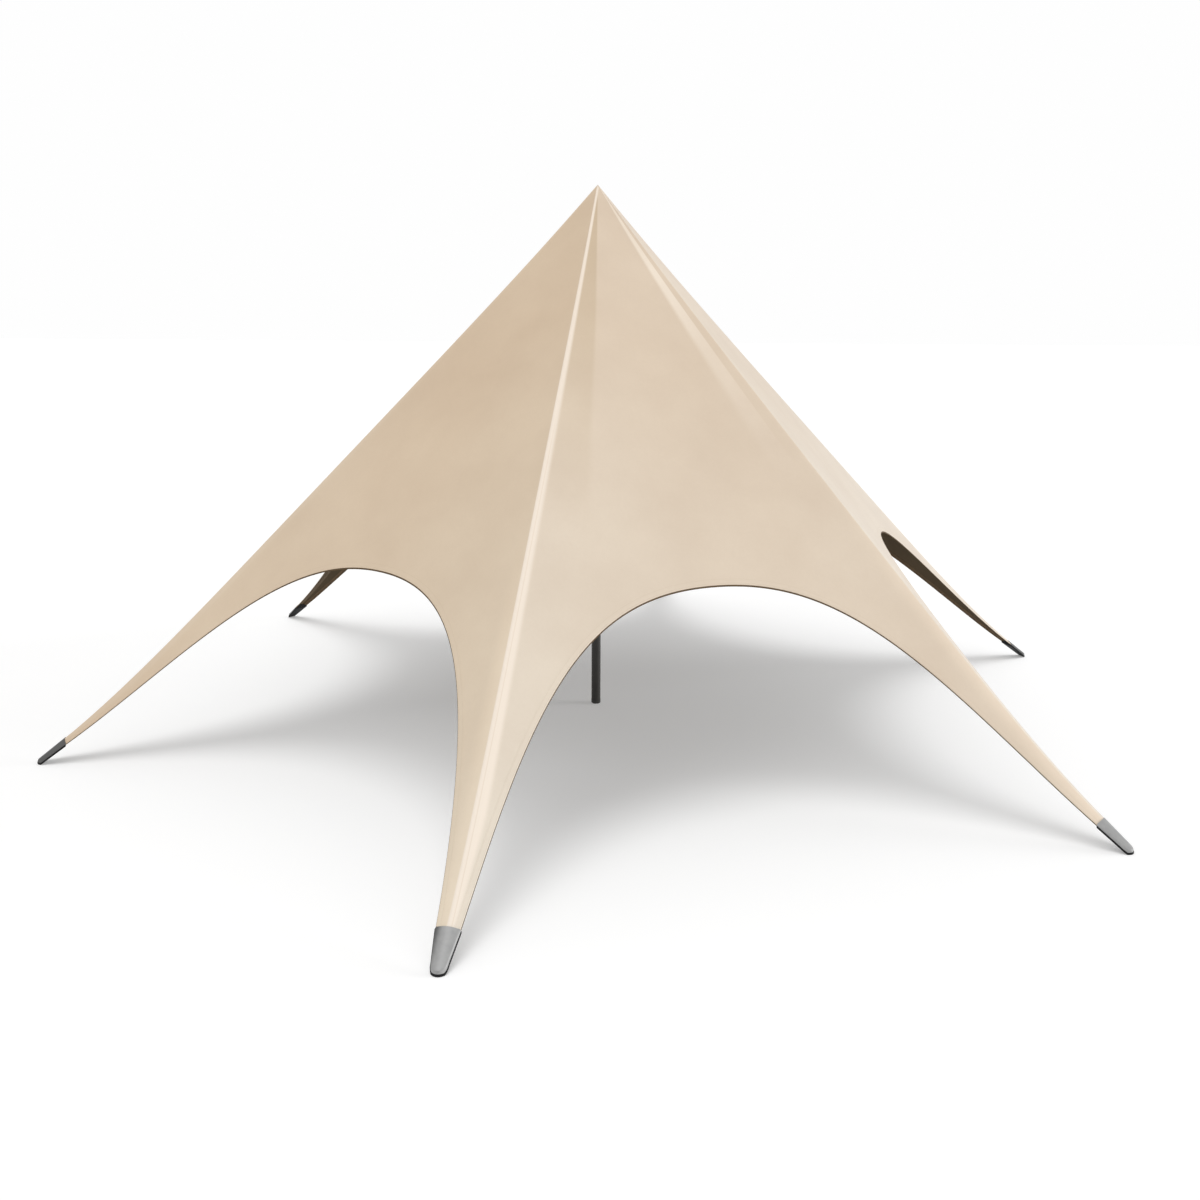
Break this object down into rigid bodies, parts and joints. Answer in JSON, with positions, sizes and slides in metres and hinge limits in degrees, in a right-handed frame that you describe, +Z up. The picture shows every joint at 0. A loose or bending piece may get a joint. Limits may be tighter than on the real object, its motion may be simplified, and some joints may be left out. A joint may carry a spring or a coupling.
{
  "type": "star tent",
  "caption": "Single-mast star tent: stretched fabric canopy with arched openings between pointed arms that run down to capped feet.",
  "frame": {"origin": "on the floor at the mast's axis, the centre of the mast's foot", "axes": "+Z up along the mast; the front arm points along -Y and its twin along +Y; the arches beside them alternate, and two face +X and -X"},
  "size_m": [9.5436, 11, 5.2696],
  "materials": {
    "canopy_fabric": "coated woven polyester, beige, satin sheen",
    "hem_webbing": "dark brown polyester webbing",
    "ridge_webbing": "dark brown polyester webbing and patch",
    "foot_cap": "satin grey powder coat on a casting",
    "foot_sole": "black moulded rubber",
    "mast": "satin black powder coat",
    "mast_fitting": "moulded black plastic"
  },
  "bodies": {
    "root": {"canopy_panel_front_right": "canopy_fabric", "canopy_panel_right": "canopy_fabric", "canopy_panel_back_right": "canopy_fabric", "canopy_panel_back_left": "canopy_fabric", "canopy_panel_left": "canopy_fabric", "canopy_panel_front_left": "canopy_fabric", "hem_webbing_front_right": "hem_webbing", "hem_webbing_right": "hem_webbing", "hem_webbing_back_right": "hem_webbing", "hem_webbing_back_left": "hem_webbing", "hem_webbing_left": "hem_webbing", "hem_webbing_front_left": "hem_webbing", "ridge_webbing_front": "ridge_webbing", "ridge_webbing_front_right": "ridge_webbing", "ridge_webbing_back_right": "ridge_webbing", "ridge_webbing_back": "ridge_webbing", "ridge_webbing_back_left": "ridge_webbing", "ridge_webbing_front_left": "ridge_webbing", "peak_patch": "ridge_webbing", "foot_cap_front": "foot_cap", "foot_cap_front_right": "foot_cap", "foot_cap_back_right": "foot_cap", "foot_cap_back": "foot_cap", "foot_cap_back_left": "foot_cap", "foot_cap_front_left": "foot_cap", "foot_sole_front": "foot_sole", "foot_sole_front_right": "foot_sole", "foot_sole_back_right": "foot_sole", "foot_sole_back": "foot_sole", "foot_sole_back_left": "foot_sole", "foot_sole_front_left": "foot_sole", "mast_base": "mast", "mast_lower_tube": "mast", "mast_upper_tube": "mast", "mast_collar": "mast_fitting", "mast_head": "mast_fitting"}
  },
  "joints": []
}
